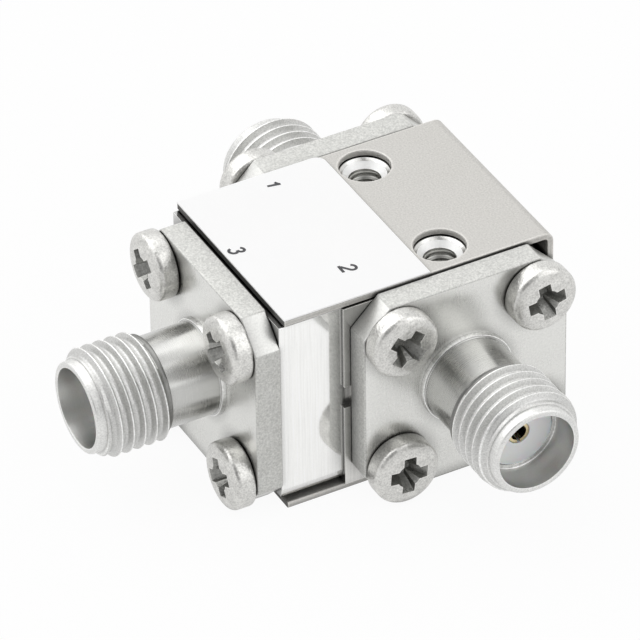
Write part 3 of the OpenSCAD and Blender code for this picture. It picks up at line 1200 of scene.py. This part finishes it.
@dataclass
class Label:
    """White label with a plain port number near each port."""

    top: float = 12.88
    digit_height: float = 0.98
    stroke: float = 0.165
    slant: float = 0.2
    ink: float = 0.006
    middle: tuple[float, float] = (0.36, 0.5)
    places: tuple[tuple[Digit, float, float], ...] = (
        (Digit.ONE, -5.1, -4.9),
        (Digit.TWO, 3.75, -5.0),
        (Digit.THREE, -0.62, -9.54),
    )

    def build(self) -> None:
        """Dress the label and print the three digits on it."""
        dress_node("label", Finish.LABEL)
        for digit, x, y in self.places:
            self.print_digit(digit, x, y)

    def print_digit(self, digit: Digit, x: float, y: float) -> None:
        """Print one digit.

        Args:
            digit: which one.
            x: where its middle lies on the label.
            y: the same across the label.
        """
        text, strokes = digit.value
        draft = Draft(Finish.INK)
        for level, stroke in enumerate(strokes, start=1):
            self.draw_stroke(draft, np.array(stroke), level * self.ink)
        piece = draft.piece(f"label_digit_{text}", shift(x, y, self.top))

    def draw_stroke(self, draft: Draft, stroke: np.ndarray, thickness: float) -> None:
        """Add one stroke as a thin raised ribbon.

        Args:
            draft: mesh that takes it.
            stroke: its middle line in the digit's box.
            thickness: height of the ink.
        """
        line = (stroke - self.middle) * self.digit_height
        line[:, 0] += self.slant * line[:, 1]
        steps = np.gradient(line, axis=0)
        steps /= np.linalg.norm(steps, axis=1)[:, None]
        loops = []
        for (x, y), (u, v) in zip(line, steps):
            a, b = self.stroke / 2 * v, self.stroke / 2 * u
            right, left = (x + a, y - b), (x - a, y + b)
            corners = ((*right, 0.0), (*right, thickness), (*left, thickness), (*left, 0.0))
            loops.append(draft.loop(corners))
        draft.tube(loops)


@dataclass
class Body:
    """Housing, side block, folded sheet and the junction inside."""

    sheet_edge: float = 0.06
    housing_edge: float = 0.06
    block_edge: float = 0.03
    mounts: tuple[float, float] = (-4.25, 4.25)

    def build(self) -> None:
        """Dress the CAD nodes of the body and thread its mounting holes."""
        dress_node("yoke", Finish.SHEET, self.sheet_edge)
        dress_node("housing", Finish.HOUSING, self.housing_edge)
        dress_node("port_3_block", Finish.BLOCK, self.block_edge)
        dress_node("centre_conductor", Finish.GOLD)
        for side in ("upper", "lower"):
            dress_node(f"{side}_ferrite", Finish.FERRITE)
            dress_node(f"{side}_spacer_ring", Finish.SPACER)
            dress_node(f"{side}_ground_plate", Finish.SILVER)
            dress_node(f"{side}_magnet", Finish.MAGNET)
            dress_node(f"{side}_pole_piece", Finish.POLE)
        for number, x in enumerate(self.mounts, start=1):
            TappedHole(number, x).build()


# The studio


@dataclass
class View:
    """The camera, fitted to the photograph."""

    azimuth: float = 62.04
    elevation: float = 36.98
    roll: float = -0.878
    distance: float = 382.316
    focal_px: float = 6889.7
    image_px: float = 640.0
    shift_right: float = 4.231
    shift_up: float = 1.067
    aim_height: float = 6.37
    sensor: float = 36.0
    nearest: float = 10.0

    def axes(self) -> tuple[Vector, Vector, Vector]:
        """Directions of the camera.

        Returns:
            Right, up and back.
        """
        a, e, r = (math.radians(v) for v in (self.azimuth, self.elevation, self.roll))
        right = Vector((math.cos(a), math.sin(a), 0.0))
        back = Vector((math.sin(a) * math.cos(e), -math.cos(a) * math.cos(e), math.sin(e)))
        up = back.cross(right)
        turned_right = math.cos(r) * right + math.sin(r) * up
        turned_up = -math.sin(r) * right + math.cos(r) * up
        return turned_right, turned_up, back

    def build(self) -> None:
        """Make the camera and hand it to the scene."""
        right, up, back = self.axes()
        camera = bpy.data.cameras.new("camera")
        camera.sensor_width = self.sensor
        camera.sensor_fit = "HORIZONTAL"
        camera.lens = self.focal_px * self.sensor / self.image_px
        camera.clip_start = self.nearest * MM
        holder = add_object("camera", camera)
        spot = Vector((0.0, 0.0, self.aim_height)) + back * self.distance
        spot -= right * self.shift_right + up * self.shift_up
        turn = Matrix((right, up, back)).transposed().to_4x4()
        holder.matrix_world = Matrix.Translation(spot * MM) @ turn
        bpy.context.scene.camera = holder


@dataclass
class Studio:
    """Pale floor, white surroundings with one dark side for the metal to mirror, and soft lamps."""

    dark_way: Vector
    floor_size: float = 1600.0
    floor_level: float = -0.02
    floor_colour: Colour = (0.9, 0.9, 0.9)
    floor_white: float = 0.94
    floor_mirrored: float = 0.7
    ambient: float = 0.58
    dark: float = 0.65
    dark_from: float = 0.66
    dark_full: float = 0.95
    lamps: tuple[tuple[str, Point, float, float], ...] = (
        ("key", (-160.0, -120.0, 330.0), 520.0, 0.74),
        ("fill", (260.0, 160.0, 260.0), 400.0, 0.33),
    )

    def build(self) -> None:
        """Set up floor, world and lamps."""
        self.build_floor()
        self.build_world()
        for name, spot, size, power in self.lamps:
            self.build_lamp(name, spot, size, power)
        bpy.context.scene.view_settings.view_transform = "Standard"

    def build_floor(self) -> None:
        """Lay a pale floor that reads white to the camera and still takes a shadow."""
        half = self.floor_size / 2 * MM
        level = self.floor_level * MM
        mesh = bpy.data.meshes.new("floor")
        corners = [(x * half, y * half, level) for x, y in ((-1, -1), (1, -1), (1, 1), (-1, 1))]
        mesh.from_pydata(corners, [], [(0, 1, 2, 3)])
        floor = add_object("floor", mesh)
        shader = Shader(bpy.data.materials.new("floor_paper"))
        paper = shader.node("ShaderNodeBsdfDiffuse", None, {"Color": (*self.floor_colour, 1.0)})
        white = shader.node("ShaderNodeEmission", None, {"Color": (1.0, 1.0, 1.0, 1.0), "Strength": 1.0})
        straight, mirrored = self.seen(shader)
        share = self.floor_white * straight + self.floor_mirrored * mirrored
        shader.close(shader.node("ShaderNodeMixShader", None, {0: share, 1: paper, 2: white}))
        mesh.materials.append(shader.owner)

    @staticmethod
    def seen(shader: Shader) -> tuple[Value, Value]:
        """Switches for the kinds of ray.

        Args:
            shader: where their nodes are added.

        Returns:
            1 for rays straight from the camera or through glass, and 1 for mirrored ones.
        """
        camera = shader.node("ShaderNodeLightPath", output="Is Camera Ray")
        through = shader.node("ShaderNodeLightPath", output="Is Transmission Ray")
        mirrored = shader.node("ShaderNodeLightPath", output="Is Glossy Ray")
        return camera.at_least(through), mirrored

    def build_world(self) -> None:
        """Surround the object with white that lights it softly, and is dark to mirrors on one side."""
        world = bpy.data.worlds.new("surroundings")
        bpy.context.scene.world = world
        shader = Shader(world)
        way = shader.node("ShaderNodeTexCoord", output="Generated")
        near = shader.along(way, self.dark_way)
        limits = {"From Min": self.dark_from, "From Max": self.dark_full, "To Max": self.dark}
        shade = shader.node(
            "ShaderNodeMapRange",
            {"interpolation_type": "SMOOTHSTEP"},
            {"Value": near, "To Min": 0.0, **limits},
        )
        straight, mirrored = self.seen(shader)
        stray = 1.0 - straight.at_least(mirrored)
        strength = straight + stray * self.ambient + mirrored * (1.0 - shade)
        white = (1.0, 1.0, 1.0, 1.0)
        shader.close(shader.node("ShaderNodeBackground", None, {"Color": white, "Strength": strength}))

    @staticmethod
    def build_lamp(name: str, spot: Point, size: float, power: float) -> None:
        """Hang a square lamp that faces the object.

        Args:
            name: name of the lamp.
            spot: where it hangs.
            size: its side.
            power: its power in watts.
        """
        light = bpy.data.lights.new(name, "AREA")
        light.size = size * MM
        light.energy = power
        lamp = add_object(name, light)
        lamp.location = Vector(spot) * MM
        lamp.rotation_euler = Vector(spot).to_track_quat("Z", "Y").to_euler()


def main() -> None:
    """Build the object, the camera and the studio."""
    logging.basicConfig(level=logging.INFO, format="%(message)s")
    view = View()
    view.build()
    Body().build()
    Label().build()
    Jack(Port.ONE, screw_turns=(20.0, 65.0, 10.0, 40.0)).build()
    Jack(Port.TWO, screw_turns=(50.0, 10.0, -4.0, 30.0)).build()
    Jack(Port.THREE, screw_grip=4.93, screw_turns=(40.0, 48.0, 70.0, 24.0)).build()
    Studio(view.axes()[2]).build()


if __name__ == "__main__":
    main()
